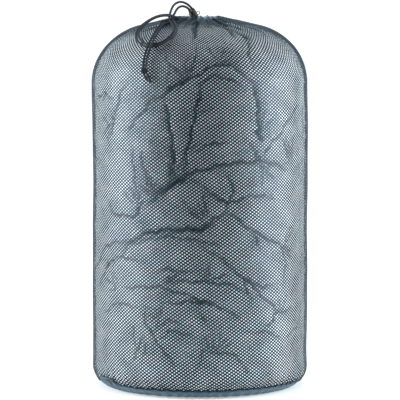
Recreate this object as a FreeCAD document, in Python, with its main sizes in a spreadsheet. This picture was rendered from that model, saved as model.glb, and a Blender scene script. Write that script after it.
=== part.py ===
import FreeCAD, Part
import math
import os
import re

import Sketcher
from FreeCAD import Placement, Rotation, Vector

# A camp quilt, folded in three and rolled inside its round net storage sack.
# Millimetres, +Z up. The origin is the centre of the sack's flat base, on the ground.
# The sack's drawn-up mouth is at the top, and its front, with the drawcord, faces -Y.

SIZES = {
    # storage sack
    "wall_radius": 150,
    "net_thickness": 1.5,
    "base_corner": 30,
    "seam_angle": 42,
    "seam_split": 2,
    "binding_radius": 1.2,
    "binding_inset": 3,
    "shoulder_level": 424,
    "shoulder_radius": 78.5,
    "shoulder_angle": 45,
    "crown_radius": 90,
    "crown_angle": 76,
    "mouth_radius": 28,
    "mouth_level": 514,
    "channel_radius": 21.5,
    "channel_level": 510,
    "channel_tube": 5.5,
    "channel_bore": 3,
    "exit_angle": 250.2,
    "exit_length": 14,
    "exit_width": 7,
    "stitch_width": 1.6,
    "stitch_thickness": 1,
    "seam_tape_width": 12,
    "seam_tape_thickness": 1,
    "seam_tape_angle": 89,
    # drawcord
    "cord_diameter": 3.2,
    "ring_span": 318,
    "knot_height": 5.5,
    "knot_width": 5.2,
    "knot_depth": 4.2,
    # quilt
    "fabric_thickness": 1,
    "gap": 0.4,
    "sack_clearance": 0.5,
    "chamber_thickness": 30,
    "wall_thickness": 0.8,
    "quilt_bottom": 6,
    "sheet_bottom": 36,
    "sheet_top": 430,
    "dimple_level": 482,
    "dimple_rim": 503,
    "dimple_inner": 40,
    "dimple_outer": 60,
    "roll_start": 100,
    "edge_tape_width": 10,
    "edge_tape_thickness": 1.6,
    "edge_tape_level": 3,
    "edge_tape_outer": 118,
    "hem_thickness": 3,
    "hem_margin": 3,
    "head_hem_turn": 2,
    "foot_hem_turn": 8,
    "label_width": 18,
    "label_height": 40,
    "label_thickness": 0.6,
    "label_level": 80,
    "label_radius": 126,
    "label_angle": 95,
}

# One rolled layer of the quilt each, from the outside in: degrees that its chambers span, and how many.
LAYERS = [(340, 6), (335, 4), (325, 3), (300, 2)]

# Routes of the two strands of the drawcord, from inside the mouth, up out of the exit, over in an arch,
# once round the loose overhand knot on the shoulder, and down to the stopper knot.
LONG_STRAND = [
    (-5, -20, 489), (-4.5, -20.5, 503), (-6, -21, 517), (-10.5, -25, 528), (-19.5, -29, 536),
    (-29, -34, 538), (-37, -39, 533), (-40.5, -45, 524.5), (-43, -52.5, 515.5), (-39, -66.5, 509.5),
    (-35, -90, 504.5), (-38.5, -108.5, 494), (-47.5, -114.5, 487.5), (-58.5, -115.5, 482.5),
    (-71.5, -110, 481), (-81, -96, 486.5), (-85, -76.5, 495.5), (-80.5, -62.5, 503), (-70, -56, 512),
    (-59, -54, 517.5), (-48.5, -56, 519.5), (-39.5, -62, 518.5), (-29, -57, 516.5), (-30.5, -44.5, 514.5),
    (-42.5, -40, 513), (-52, -49, 511), (-54, -65.5, 509), (-59.5, -86, 501), (-65.5, -106, 490.5),
    (-70, -119, 482), (-73, -123, 473), (-76.5, -124, 462), (-76.5, -128, 451.5),
]
SHORT_STRAND = [
    (-9.5, -19.5, 490), (-9, -20, 503), (-10.5, -20.5, 516), (-14, -24, 526.5), (-21.5, -28, 531.5),
    (-28.5, -33, 531), (-33, -39, 526), (-35.5, -46, 520.5), (-39, -51.5, 516.5), (-35, -65.5, 510.5),
    (-31, -90, 504.5), (-35, -110.5, 493.5), (-45.5, -117.5, 485.5), (-58.5, -118.5, 479.5),
    (-73, -112, 478), (-84.5, -96, 484), (-89, -75.5, 493.5), (-83.5, -59.5, 503), (-72, -52, 512),
    (-59, -50, 518.5), (-47.5, -52, 520.5), (-38.5, -58, 519.5), (-33, -55, 516.5), (-33.5, -47.5, 513.5),
    (-41.5, -44, 513), (-48, -51, 511), (-50, -66.5, 509), (-55.5, -87, 501.5), (-61.5, -107, 491),
    (-66, -121, 482), (-69.5, -125, 472.5), (-73, -126, 461.5), (-73, -130, 452.5),
]
BEND_SHARE = 0.45  # of the shorter of two straight runs, the part that the bend between them takes
KNOT_CENTRE = (-75.5, -131.4, 447.5)
LEFT_END = [(-76, -132, 443.5), (-74, -133.7, 438.3), (-71, -135.3, 433.5)]
RIGHT_END = [(-72.3, -133.5, 444), (-68.8, -136, 437.3), (-66, -137.6, 430.5)]

doc = FreeCAD.newDocument("CampQuilt")
sheet = doc.addObject("Spreadsheet::Sheet", "Sizes")
pieces = []


def fill_sheet():
    """One row per driving dimension: its name in column A and its value, with an alias, in column B."""
    for row, (name, size) in enumerate(SIZES.items(), start=1):
        sheet.set(f"A{row}", name)
        sheet.set(f"B{row}", str(size))
        sheet.setAlias(f"B{row}", name)
    doc.recompute()


def cells(expression):
    """The expression with each sheet alias written as the document's expressions need it."""
    return re.sub(r"[a-z_]+", lambda word: f"Sizes.{word[0]}" if word[0] in SIZES else word[0], expression)


def value(expression):
    """The number that an expression of sheet aliases gives now."""
    result = sheet.evalExpression(cells(expression))
    return float(getattr(result, "Value", result))


def keep(item, label):
    """Names a finished sub-part and lists it for writing."""
    item.Label = label
    pieces.append(item)
    return item


def origin_plane(body, role):
    return next(item for item in body.Origin.OriginFeatures if item.Role == role)


def new_sketch(body, name, role):
    sketch = body.newObject("Sketcher::SketchObject", name)
    sketch.AttachmentSupport = [(origin_plane(body, role), "")]
    sketch.MapMode = "FlatFace"
    return sketch


def pin_point(sketch, edge, end, across, up):
    """Holds one end of an edge at the place that two expressions give."""
    for kind, axis, expression in (("DistanceX", -2, across), ("DistanceY", -1, up)):
        size = value(expression)
        if abs(size) < 1e-9:
            sketch.addConstraint(Sketcher.Constraint("PointOnObject", edge, end, axis))
            continue
        index = sketch.addConstraint(Sketcher.Constraint(kind, -1, 1, edge, end, size))
        sketch.setExpression(f"Constraints[{index}]", cells(expression))


def arc_through(start, end, centre, clockwise):
    """The arc from start to end about a centre, as Sketcher wants it: anticlockwise."""
    first, last = (end, start) if clockwise else (start, end)
    radius = (start - centre).Length
    angles = [math.atan2(point.y - centre.y, point.x - centre.x) for point in (first, last)]
    if angles[1] < angles[0]:
        angles[1] += 2 * math.pi
    circle = Part.Circle(centre, Vector(0, 0, 1), radius)
    return Part.ArcOfCircle(circle, angles[0], angles[1])


def draw_outline(sketch, outline):
    """Draws a closed outline. Each entry is (across, up) for a straight edge from the corner before it, or
    (across, up, centre across, centre up, clockwise) for a round one. The first entry closes the outline."""
    corners = [Vector(value(entry[0]), value(entry[1]), 0) for entry in outline]
    for index, entry in enumerate(outline):
        start, end = corners[index - 1], corners[index]
        clockwise = len(entry) == 5 and entry[4]
        if len(entry) == 5:
            centre = Vector(value(entry[2]), value(entry[3]), 0)
            edge = sketch.addGeometry(arc_through(start, end, centre, clockwise))
        else:
            edge = sketch.addGeometry(Part.LineSegment(start, end))
        pin_point(sketch, edge, 1 if clockwise else 2, entry[0], entry[1])
        before = outline[index - 1]
        pin_point(sketch, edge, 2 if clockwise else 1, before[0], before[1])
        if len(entry) == 5:
            radius = f"sqrt(pow({entry[0]} - ({entry[2]}); 2) + pow({entry[1]} - ({entry[3]}); 2))"
            index = sketch.addConstraint(Sketcher.Constraint("Radius", edge, value(radius)))
            sketch.setExpression(f"Constraints[{index}]", cells(radius))


def revolved(name, outline, sweep="360"):
    """A body turned from a half section about Z; a part turn is centred on +X."""
    body = doc.addObject("PartDesign::Body", name)
    sketch = new_sketch(body, f"{name}_section", "XZ_Plane")
    draw_outline(sketch, outline)
    turn = body.newObject("PartDesign::Revolution", f"{name}_turn")
    turn.Profile = sketch
    turn.ReferenceAxis = (sketch, ["V_Axis"])
    turn.Midplane = True
    turn.setExpression("Angle", cells(sweep))
    sketch.Visibility = False
    return body


def turned_about_z(item, expression):
    """Turns an item about Z by an angle that follows the sheet."""
    item.Placement = Placement(Vector(), Rotation(Vector(0, 0, 1), 1))
    item.setExpression("Placement.Rotation.Angle", cells(expression))


def primitive(kind, name, **sizes):
    item = doc.addObject(f"Part::{kind}", name)
    for key, expression in sizes.items():
        item.setExpression(key, cells(expression))
    return item


def boolean(kind, name, base, tool):
    item = doc.addObject(f"Part::{kind}", name)
    item.Base = base
    item.Tool = tool
    return item


def cut_all(name, base, *tools):
    for index, tool in enumerate(tools):
        base = boolean("Cut", f"{name}_cut_{index}", base, tool)
    return base


# ---- the outline that the sack and the quilt inside it share ----


def polar(centre, radius, angle, function):
    return f"{centre} + ({radius}) * {function}({angle})"


def corner_point(inset, angle):
    """A point of the base's round corner, set in from the outside, that far below the horizontal."""
    radius = f"base_corner - ({inset})"
    across = polar("wall_radius - base_corner", radius, angle, "cos")
    return across, f"base_corner - ({radius}) * sin({angle})"


CORNER_CENTRE = ("wall_radius - base_corner", "base_corner")
SHOULDER_CENTRE = ("wall_radius - shoulder_radius", "shoulder_level")
CROWN_OFFSET = "(shoulder_radius - crown_radius)"
CROWN_CENTRE = (
    f"{SHOULDER_CENTRE[0]} + {CROWN_OFFSET} * cos(shoulder_angle)",
    f"{SHOULDER_CENTRE[1]} + {CROWN_OFFSET} * sin(shoulder_angle)",
)


def shoulder_point(inset):
    radius = f"shoulder_radius - ({inset})"
    return tuple(
        polar(SHOULDER_CENTRE[side], radius, "shoulder_angle", function)
        for side, function in enumerate(("cos", "sin"))
    )


def crown_point(inset):
    radius = f"crown_radius - ({inset})"
    return tuple(
        polar(CROWN_CENTRE[side], radius, "crown_angle", function)
        for side, function in enumerate(("cos", "sin"))
    )


# ---- storage sack ----


def base_panel():
    """The woven round base: flat on the ground, turned up at its edge as far as the seam."""
    outline = [
        ("0", "0"),
        ("wall_radius - base_corner", "0"),
        (*corner_point("0", "seam_angle"), *CORNER_CENTRE, False),
        corner_point("net_thickness", "seam_angle"),
        ("wall_radius - base_corner", "net_thickness", *CORNER_CENTRE, True),
        ("0", "net_thickness"),
    ]
    keep(revolved("base_panel", outline), "base_panel")


def base_seam_binding():
    """The bound seam allowance, inside the seam between the base and the net."""
    radius = "base_corner - binding_inset"
    across = f"wall_radius - base_corner + ({radius}) * cos(seam_angle - seam_split / 2)"
    up = f"base_corner - ({radius}) * sin(seam_angle - seam_split / 2)"
    ring = primitive("Torus", "base_seam_binding", Radius1=across, Radius2="binding_radius")
    ring.setExpression("Placement.Base.z", cells(up))
    keep(ring, "base_seam_binding")


def net_side_panel():
    """The net tube: up from the base seam, over the shoulder and in to the gathered mouth."""
    edge = "seam_angle - seam_split"
    inner = "net_thickness"
    outline = [
        corner_point(inner, edge),
        corner_point("0", edge),
        ("wall_radius", "base_corner", *CORNER_CENTRE, False),
        ("wall_radius", "shoulder_level"),
        (*shoulder_point("0"), *SHOULDER_CENTRE, False),
        (*crown_point("0"), *CROWN_CENTRE, False),
        ("mouth_radius", "mouth_level"),
        ("mouth_radius", "mouth_level - net_thickness"),
        crown_point(inner),
        (*shoulder_point(inner), *CROWN_CENTRE, True),
        ("wall_radius - net_thickness", "shoulder_level", *SHOULDER_CENTRE, True),
        ("wall_radius - net_thickness", "base_corner"),
    ]
    outline[0] = (*outline[0], *CORNER_CENTRE, True)
    keep(revolved("net_side_panel", outline), "net_side_panel")


def side_seam_tape():
    """The tape over the seam that closes the net into a tube, inside at the back."""
    tape = primitive(
        "Box",
        "side_seam_tape",
        Length="seam_tape_thickness",
        Width="seam_tape_width",
        Height="sheet_top - sheet_bottom",
    )
    reach = "(wall_radius - net_thickness - seam_tape_thickness - sack_clearance)"
    half = "seam_tape_width / 2"
    turned_about_z(tape, "seam_tape_angle")
    tape.setExpression(
        "Placement.Base.x",
        cells(f"{reach} * cos(seam_tape_angle) + {half} * sin(seam_tape_angle)"),
    )
    tape.setExpression(
        "Placement.Base.y",
        cells(f"{reach} * sin(seam_tape_angle) - {half} * cos(seam_tape_angle)"),
    )
    tape.setExpression("Placement.Base.z", cells("sheet_bottom"))
    keep(tape, "side_seam_tape")


def exit_slot(name, length, width, height, level):
    """An upright block at the cord's exit, long along the channel."""
    block = primitive("Box", name, Length=width, Width=length, Height=height)
    turned_about_z(block, "exit_angle")
    near = f"(channel_radius - ({width}) / 2)"
    half = f"({length}) / 2"
    block.setExpression(
        "Placement.Base.x",
        cells(f"{near} * cos(exit_angle) + {half} * sin(exit_angle)"),
    )
    block.setExpression(
        "Placement.Base.y",
        cells(f"{near} * sin(exit_angle) - {half} * cos(exit_angle)"),
    )
    block.setExpression("Placement.Base.z", cells(level))
    return block


def hem_channel():
    """The gathered hem: a fabric tube round the mouth with a bore for the cord and one exit."""
    tube = primitive("Torus", "hem_tube", Radius1="channel_radius", Radius2="channel_tube")
    bore = primitive("Torus", "hem_bore", Radius1="channel_radius", Radius2="channel_bore")
    for ring in (tube, bore):
        ring.setExpression("Placement.Base.z", cells("channel_level"))
    exit_hole = exit_slot(
        "hem_exit", "exit_length", "exit_width", "4 * channel_tube", "channel_level - 2 * channel_tube"
    )
    keep(cut_all("hem_channel", tube, bore, exit_hole), "hem_channel")


def cord_exit_buttonhole():
    """The stitched frame round the exit, on top of the channel."""
    level = "channel_level + channel_tube + sack_clearance"
    outer = exit_slot(
        "buttonhole_outer",
        "exit_length + 2 * stitch_width",
        "exit_width + 2 * stitch_width",
        "stitch_thickness",
        level,
    )
    inner = exit_slot(
        "buttonhole_inner",
        "exit_length + 2 * gap",
        "exit_width + 2 * gap",
        "3 * stitch_thickness",
        f"{level} - stitch_thickness",
    )
    keep(cut_all("cord_exit_buttonhole", outer, inner), "cord_exit_buttonhole")


# ---- drawcord ----


def drawcord_ring():
    """The run of the drawcord inside the channel, open at the exit."""
    ring = primitive(
        "Torus", "drawcord_ring", Radius1="channel_radius", Radius2="cord_diameter / 2", Angle3="ring_span"
    )
    turned_about_z(ring, "exit_angle + (360 - ring_span) / 2")
    ring.setExpression("Placement.Base.z", cells("channel_level"))
    keep(ring, "drawcord_ring")


def rounded_path(points):
    """Straight runs joined by tangent arcs, each as large as its two runs allow, and the arcs' radii."""
    points = [Vector(*point) for point in points]
    edges, radii = [], []
    last = points[0]
    for before, here, after in zip(points, points[1:], points[2:]):
        back, forth = before - here, after - here
        turn = math.pi - back.getAngle(forth)
        reach = BEND_SHARE * min(back.Length, forth.Length)
        radius = reach / math.tan(turn / 2)
        start = here + back.normalize() * reach
        end = here + forth.normalize() * reach
        inward = (back + forth).normalize()
        middle = here + inward * (radius / math.cos(turn / 2) - radius)
        edges.append(Part.LineSegment(last, start).toShape())
        edges.append(Part.Arc(start, middle, end).toShape())
        radii.append(radius)
        last = end
    edges.append(Part.LineSegment(last, points[-1]).toShape())
    return Part.Wire(edges), radii


def cord_run(label, points):
    """A round cord along a route, as a solid with its own length printed."""
    path, radii = rounded_path(points)
    radius = value("cord_diameter") / 2
    direction = Vector(*points[1]) - Vector(*points[0])
    section = Part.Wire(Part.makeCircle(radius, Vector(*points[0]), direction))
    run = doc.addObject("Part::Feature", label)
    run.Shape = path.makePipeShell([section], True, False, 2)
    run.Placement = Placement()
    swept = run.Shape.Volume / (math.pi * radius**2 * path.Length)
    print(f"{label}: length {path.Length:.0f}, volume ratio {swept:.3f}")
    print("  radii", [round(radius, 1) for radius in radii])
    keep(run, label)


def stopper_knot():
    """The knot that keeps the two strands together, near their ends."""
    knot = primitive(
        "Ellipsoid", "stopper_knot", Radius1="knot_height", Radius2="knot_width", Radius3="knot_depth"
    )
    facing = math.degrees(math.atan2(KNOT_CENTRE[1], KNOT_CENTRE[0])) + 90
    knot.Placement = Placement(Vector(*KNOT_CENTRE), Rotation(Vector(0, 0, 1), facing))
    keep(knot, "stopper_knot")


# ---- quilt ----

QUILT_INSET = "net_thickness + sack_clearance + fabric_thickness + gap"
LAYER_PITCH = "(chamber_thickness + 2 * fabric_thickness + 3 * gap)"


def layer_outer(layer):
    return f"wall_radius - ({QUILT_INSET}) - {layer} * {LAYER_PITCH}"


def layer_inner(layer):
    return f"{layer_outer(layer)} - chamber_thickness"


def quilt_space():
    """The room inside the sack that the quilt's filling takes, with a dimple under the gathered mouth."""
    across = f"wall_radius - base_corner - ({QUILT_INSET})"
    up = "quilt_bottom + base_corner"
    outline = [
        ("0", "quilt_bottom"),
        (across, "quilt_bottom"),
        (f"{across} + base_corner", up, across, up, False),
        (f"{across} + base_corner", "shoulder_level"),
        (*shoulder_point(QUILT_INSET), *SHOULDER_CENTRE, False),
        (*crown_point(QUILT_INSET), *CROWN_CENTRE, False),
        ("dimple_outer", "dimple_rim"),
        ("dimple_inner", "dimple_level"),
        ("0", "dimple_level"),
    ]
    return revolved("quilt_space", outline)


def wall_allowance(layer):
    """Half the angle left free between two chambers of a layer for the baffle wall."""
    return f"asin((wall_thickness / 2 + gap) / ({layer_inner(layer)}))"


def down_chambers(space):
    """The down-filled chambers, numbered from the quilt's foot end, in the middle, to its head end."""
    number = sum(count for _, count in LAYERS)
    for layer, (span, count) in enumerate(LAYERS):
        inner, outer = layer_inner(layer), layer_outer(layer)
        outline = [(inner, "0"), (outer, "0"), (outer, "mouth_level"), (inner, "mouth_level")]
        for index in range(count):
            label = f"down_chamber_{number:02d}"
            pitch = span / count
            sector = revolved(f"{label}_sector", outline, f"{pitch} * 1 deg - 2 * {wall_allowance(layer)}")
            turned_about_z(sector, f"roll_start + {(index + 0.5) * pitch}")
            keep(boolean("Common", label, sector, space), label)
            number -= 1


def baffle_walls(space):
    """The thin walls between neighbouring chambers, one group of identical pieces."""
    walls = []
    for layer, (span, count) in enumerate(LAYERS):
        for index in range(1, count):
            wall = primitive(
                "Box",
                f"wall_{layer}_{index}",
                Length="chamber_thickness - 2 * gap",
                Width="wall_thickness",
                Height="mouth_level",
            )
            angle = f"roll_start + {index * span / count}"
            near = f"({layer_inner(layer)} + gap)"
            turned_about_z(wall, angle)
            wall.setExpression(
                "Placement.Base.x", cells(f"{near} * cos({angle}) + wall_thickness / 2 * sin({angle})")
            )
            wall.setExpression(
                "Placement.Base.y", cells(f"{near} * sin({angle}) - wall_thickness / 2 * cos({angle})")
            )
            walls.append(wall)
    group = doc.addObject("Part::Compound", "wall_group")
    group.Links = walls
    keep(boolean("Common", "baffle_walls", group, space), "baffle_walls")


def at_angle(radius, degrees):
    angle = math.radians(degrees)
    return Vector(radius * math.cos(angle), radius * math.sin(angle), 0)


def rolled_line(radii):
    """The edges of a line rolled up from the outside in: round each layer, then a step in to the next one."""
    start = value("roll_start")
    edges = []
    last = None
    for radius, (span, _) in zip(radii, LAYERS):
        first = at_angle(radius, start)
        if last:
            edges.append(Part.LineSegment(last, first))
        last = at_angle(radius, start + span)
        edges.append(Part.Arc(first, at_angle(radius, start + span / 2), last))
    return edges


def rolled_sheet(label, radii, thickness, bottom, height):
    """A sheet of cloth standing on the rolled line, half its thickness to each side."""
    outside = rolled_line([radius + thickness / 2 for radius in radii])
    inside = rolled_line([radius - thickness / 2 for radius in radii])
    ends = [
        Part.LineSegment(inside[0].StartPoint, outside[0].StartPoint),
        Part.LineSegment(outside[-1].EndPoint, inside[-1].EndPoint),
    ]
    outline = Part.Wire(Part.sortEdges([edge.toShape() for edge in [*outside, *inside, *ends]])[0])
    item = doc.addObject("Part::Feature", label)
    item.Shape = Part.Face(outline).extrude(Vector(0, 0, height))
    item.Placement = Placement(Vector(0, 0, bottom), Rotation())
    keep(item, label)


def quilt_sheets():
    """The outer shell, on the outside of each layer, and the lining, on its inside."""
    away = value("gap + fabric_thickness / 2")
    layers = range(len(LAYERS))
    shell = [value(layer_outer(layer)) + away for layer in layers]
    lining = [value(layer_inner(layer)) - away for layer in layers]
    bottom, top = value("sheet_bottom"), value("sheet_top")
    for label, radii in (("quilt_outer_shell", shell), ("quilt_lining", lining)):
        rolled_sheet(label, radii, value("fabric_thickness"), bottom, top - bottom)


def quilt_edge_binding():
    """The tape round the quilt's edge, where it lies under the roll."""
    radii = [value(f"{layer_inner(layer)} + chamber_thickness / 2") for layer in range(len(LAYERS))]
    radii[0] = value("edge_tape_outer")
    rolled_sheet(
        "quilt_edge_binding",
        radii,
        value("edge_tape_width"),
        value("edge_tape_level"),
        value("edge_tape_thickness"),
    )


def quilt_hem(label, layer, angle):
    """The sewn hem at one end of the rolled quilt."""
    hem = primitive(
        "Box",
        label,
        Length="chamber_thickness - hem_margin",
        Width="hem_thickness",
        Height="sheet_top - sheet_bottom",
    )
    near = f"({layer_inner(layer)} + hem_margin)"
    turned_about_z(hem, angle)
    hem.setExpression("Placement.Base.x", cells(f"{near} * cos({angle}) + hem_thickness / 2 * sin({angle})"))
    hem.setExpression("Placement.Base.y", cells(f"{near} * sin({angle}) - hem_thickness / 2 * cos({angle})"))
    hem.setExpression("Placement.Base.z", cells("sheet_bottom"))
    keep(hem, label)


def quilt_care_label():
    """The plain sewn-in label beside the head hem."""
    label = primitive(
        "Box", "quilt_care_label", Length="label_width", Width="label_thickness", Height="label_height"
    )
    turned_about_z(label, "label_angle")
    label.setExpression("Placement.Base.x", cells("label_radius * cos(label_angle)"))
    label.setExpression("Placement.Base.y", cells("label_radius * sin(label_angle)"))
    label.setExpression("Placement.Base.z", cells("label_level"))
    keep(label, "quilt_care_label")


# ---- the whole object ----


def build():
    fill_sheet()
    base_panel()
    base_seam_binding()
    net_side_panel()
    side_seam_tape()
    hem_channel()
    cord_exit_buttonhole()
    drawcord_ring()
    cord_run("drawcord_long_strand", LONG_STRAND)
    cord_run("drawcord_short_strand", SHORT_STRAND)
    stopper_knot()
    cord_run("cord_end_left", LEFT_END)
    cord_run("cord_end_right", RIGHT_END)
    space = quilt_space()
    down_chambers(space)
    baffle_walls(space)
    quilt_sheets()
    quilt_edge_binding()
    last_layer, last_span = len(LAYERS) - 1, LAYERS[-1][0]
    quilt_hem("quilt_head_hem", 0, "roll_start - head_hem_turn")
    quilt_hem("quilt_foot_hem", last_layer, f"roll_start + {last_span} + foot_hem_turn")
    quilt_care_label()
    doc.recompute()


def check():
    """Stops if any object failed, or any sub-part isn't a valid solid."""
    for item in doc.Objects:
        if "Invalid" in item.State or "Error" in item.State:
            raise RuntimeError(f"{item.Label} failed: {item.State}")
    for item in pieces:
        shape = item.Shape
        if shape.isNull() or not shape.isValid() or not shape.Solids:
            raise RuntimeError(f"{item.Label} is not a valid solid")


def write():
    os.makedirs("parts", exist_ok=True)
    for item in pieces:
        item.Shape.exportStep(f"parts/{item.Label}.step")
    print(f"{len(pieces)} sub-parts written")


build()
check()
write()
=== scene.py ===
# Camp quilt stuffed in its net storage sack: the visual pieces, built round the CAD frame.
# Metres, Z up, front at -Y. Angles round the sack count from the front, towards +X.
import math

import bpy
import numpy as np
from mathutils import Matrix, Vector


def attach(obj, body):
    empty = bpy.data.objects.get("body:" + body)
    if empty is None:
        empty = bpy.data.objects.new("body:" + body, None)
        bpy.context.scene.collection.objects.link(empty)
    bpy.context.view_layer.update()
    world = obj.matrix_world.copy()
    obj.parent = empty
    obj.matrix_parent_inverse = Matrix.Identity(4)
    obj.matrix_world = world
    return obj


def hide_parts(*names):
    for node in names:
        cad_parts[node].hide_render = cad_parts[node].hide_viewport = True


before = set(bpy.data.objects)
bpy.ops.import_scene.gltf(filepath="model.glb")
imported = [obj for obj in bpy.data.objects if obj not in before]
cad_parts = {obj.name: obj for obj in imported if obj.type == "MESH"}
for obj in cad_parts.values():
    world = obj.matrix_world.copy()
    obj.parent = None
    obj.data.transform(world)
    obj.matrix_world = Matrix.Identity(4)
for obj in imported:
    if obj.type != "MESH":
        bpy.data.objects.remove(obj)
scene = bpy.context.scene
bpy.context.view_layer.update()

SACK = "sack_with_quilt"
CORD = "drawcord"
MM = 0.001
TURN = 2 * math.pi
BRAID_PITCH = 0.0021
CORD_WIDTH = 0.0032

# ---------------------------------------------------------------- small helpers
def smoothstep(low, high, x):
    t = np.clip((x - low) / (high - low), 0, 1)
    return t * t * (3 - 2 * t)


def link(data, name):
    """A new object in the scene, with the given mesh, curve, camera or lamp."""
    piece = bpy.data.objects.new(name, data)
    scene.collection.objects.link(piece)
    return piece


def aimed(piece, place, aim):
    """Put a camera or a lamp at a place and turn it to look at another."""
    piece.location = place
    piece.rotation_euler = (Vector(aim) - Vector(place)).to_track_quat("-Z", "Y").to_euler()


def mesh_piece(name, points, faces, uv=None, floats=None):
    """A smooth mesh piece from arrays. faces is one array of quads or triangles, or several such arrays."""
    faces = faces if isinstance(faces, list) else [faces]
    loops = np.concatenate([f.ravel() for f in faces]).astype(np.int32)
    totals = np.concatenate([np.full(len(f), f.shape[1]) for f in faces])
    starts = np.concatenate([[0], np.cumsum(totals)[:-1]]).astype(np.int32)
    mesh = bpy.data.meshes.new(name)
    mesh.vertices.add(len(points))
    mesh.vertices.foreach_set("co", np.asarray(points, np.float32).ravel())
    mesh.loops.add(len(loops))
    mesh.loops.foreach_set("vertex_index", loops)
    mesh.polygons.add(len(starts))
    mesh.polygons.foreach_set("loop_start", starts)
    mesh.update(calc_edges=True)
    mesh.validate()
    mesh.polygons.foreach_set("use_smooth", np.full(len(mesh.polygons), True))
    if uv is not None:
        layer = mesh.uv_layers.new(name="Cloth")
        layer.data.foreach_set("uv", np.asarray(uv, np.float32)[loops].ravel())
    for key, values in (floats or {}).items():
        mesh.attributes.new(key, "FLOAT", "POINT").data.foreach_set("value", np.asarray(values, np.float32))
    return link(mesh, name)


def grid_faces(rows, columns):
    """Quads of a grid of rows x columns points, row by row, with the last column joined to the first."""
    i = np.arange(rows - 1)[:, None] * columns
    j = np.arange(columns)[None, :]
    k = (j + 1) % columns
    return np.stack([i + j, i + k, i + k + columns, i + j + columns], -1).reshape(-1, 4)


def fan(centre, ring, flip=False):
    """Triangles from one point to a closed ring of points."""
    after = np.roll(ring, -1)
    order = [after, ring] if flip else [ring, after]
    return np.stack([np.full(len(ring), centre), *order], -1)


def ring_faces(rows, sides):
    """Quads of a tube whose last round of points joins its first."""
    side = np.arange(sides)
    after = (side + 1) % sides
    end = (rows - 1) * sides
    return [grid_faces(rows, sides), np.stack([side + end, after + end, after, side], -1)]


def round_points(r, angle, z):
    """Points at the distance r from the sack's axis, the angle round it and the height z."""
    return np.stack([r * np.sin(angle), -r * np.cos(angle), z], -1)


def turn_from(angle, at):
    """The angle from one direction round the sack to another, between half a turn back and half a turn on."""
    return (angle - at + math.pi) % TURN - math.pi


# ---------------------------------------------------------------- camera
camera = link(bpy.data.cameras.new("camera"), "camera")
aimed(camera, (0, -4.2, 0.645), (0, 0, 0.2596))
camera.data.sensor_width = 36
camera.data.lens = 271.1
scene.camera = camera


# ---------------------------------------------------------------- materials
def set_range(node, low, high, to_low, to_high):
    """The limits of a Map Range node: low..high goes to to_low..to_high."""
    for key, value in (("From Min", low), ("From Max", high), ("To Min", to_low), ("To Max", to_high)):
        node.inputs[key].default_value = value


class Nodes:
    """Short names for the nodes of one material."""

    def __init__(self, name):
        self.material = bpy.data.materials.new(name)
        self.material.use_nodes = True
        self.tree = self.material.node_tree
        self.surface = self.tree.nodes["Principled BSDF"]

    def add(self, kind, **inputs):
        node = self.tree.nodes.new("ShaderNode" + kind)
        for key, value in inputs.items():
            if key.startswith("set_"):
                setattr(node, key[4:], value)
            else:
                self.put(node, key.replace("_", " "), value)
        return node

    def put(self, node, key, value):
        socket = node.inputs[int(key)] if key.isdigit() else node.inputs[key]
        if isinstance(value, bpy.types.NodeSocket):
            self.tree.links.new(value, socket)
        else:
            socket.default_value = value

    def math(self, operation, a, b=0.0, clamp=False):
        node = self.tree.nodes.new("ShaderNodeMath")
        node.operation = operation
        node.use_clamp = clamp
        self.put(node, "0", a)
        self.put(node, "1", b)
        return node.outputs[0]

    def mix(self, factor, a, b):
        node = self.tree.nodes.new("ShaderNodeMix")
        node.data_type = "RGBA"
        for place, value in ((0, factor), (6, a), (7, b)):
            if isinstance(value, bpy.types.NodeSocket):
                self.tree.links.new(value, node.inputs[place])
            else:
                node.inputs[place].default_value = value
        return node.outputs[2]

    def place(self):
        """Positions in the piece's own frame."""
        return self.add("TexCoord").outputs["Object"]

    def noise(self, scale, detail=3.0):
        made = self.add("TexNoise", Vector=self.place(), Scale=scale, Detail=detail, Roughness=0.55)
        return made.outputs["Fac"]

    def ramp(self, value, low, high, to_low, to_high):
        made = self.add("MapRange", Value=value)
        set_range(made, low, high, to_low, to_high)
        return made.outputs["Result"]

    def cloth(self):
        """The cloth's own two directions, in metres along the warp and the weft."""
        uv = self.add("UVMap", set_uv_map="Cloth").outputs["UV"]
        split = self.add("SeparateXYZ", Vector=uv)
        return split.outputs["X"], split.outputs["Y"]

    def weave(self, pitch):
        """Plain weave over the cloth's directions: about 1 on top of a thread, 0 between threads."""
        u, v = self.cloth()
        a = self.math("SINE", self.math("MULTIPLY", u, TURN / pitch))
        b = self.math("SINE", self.math("MULTIPLY", v, TURN / pitch))
        crossed = self.math("MULTIPLY", a, b)
        return self.math("ADD", self.math("MULTIPLY", crossed, 0.5), 0.5)

    def bump(self, height, distance, strength=1.0, below=None):
        inputs = {"Height": height, "Distance": distance, "Strength": strength}
        if below is not None:
            inputs["Normal"] = below
        return self.add("Bump", **inputs).outputs["Normal"]

    def finish(self, colour, roughness, normal,
               sheen=0.0, sheen_roughness=0.5, specular=0.3, tint=(1, 1, 1, 1)):
        """Fill in the surface. The tint colours its sheen and its highlights."""
        s = self.surface
        self.put(s, "Base Color", colour)
        self.put(s, "Roughness", roughness)
        self.put(s, "Normal", normal)
        s.inputs["Sheen Weight"].default_value = sheen
        s.inputs["Sheen Roughness"].default_value = sheen_roughness
        s.inputs["Sheen Tint"].default_value = tint
        s.inputs["Specular Tint"].default_value = tint
        s.inputs["Specular IOR Level"].default_value = specular
        return self.material


def span(n, value, low, high):
    """value from 0..1 taken to low..high"""
    return n.math("ADD", n.math("MULTIPLY", value, high - low), low)


def rgb(r, g, b):
    return (r, g, b, 1.0)


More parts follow.
